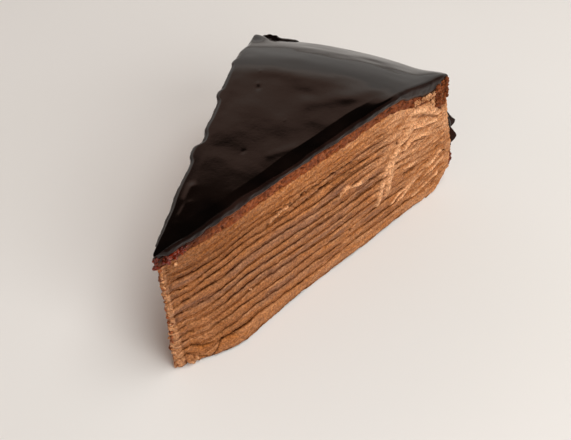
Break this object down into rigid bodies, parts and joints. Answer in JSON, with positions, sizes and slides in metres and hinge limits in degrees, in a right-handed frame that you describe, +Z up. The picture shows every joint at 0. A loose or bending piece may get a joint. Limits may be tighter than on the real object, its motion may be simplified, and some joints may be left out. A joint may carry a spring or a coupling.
{
  "type": "crepe cake slice",
  "caption": "Wedge slice of chocolate mille crepe cake: thin crepes and cream under a cocoa sponge, with a glossy dark glaze on top and dripping down the outer wall.",
  "frame": {"origin": "centre of the bounding box at its base, on the plate", "axes": "+Z up, +Y from the point of the wedge to the outer wall, +X towards the cut face on the right"},
  "size_m": [0.0834, 0.1302, 0.0595],
  "materials": {
    "glaze": "glossy poured dark chocolate glaze",
    "sponge": "moist open cocoa crumb",
    "crepe": "cut edge of thin chocolate crepe, matt",
    "cream": "light chocolate cream, soft satin, knife marks"
  },
  "bodies": {
    "root": {"cream_01": "cream", "cream_02": "cream", "cream_03": "cream", "cream_04": "cream", "cream_05": "cream", "cream_06": "cream", "cream_07": "cream", "cream_08": "cream", "cream_09": "cream", "cream_10": "cream", "cream_11": "cream", "cream_12": "cream", "cream_13": "cream", "cream_14": "cream", "crepe_01": "crepe", "crepe_02": "crepe", "crepe_03": "crepe", "crepe_04": "crepe", "crepe_05": "crepe", "crepe_06": "crepe", "crepe_07": "crepe", "crepe_08": "crepe", "crepe_09": "crepe", "crepe_10": "crepe", "crepe_11": "crepe", "crepe_12": "crepe", "crepe_13": "crepe", "crepe_14": "crepe", "sponge": "sponge", "side_cream": "cream", "glaze": "glaze"}
  },
  "joints": []
}
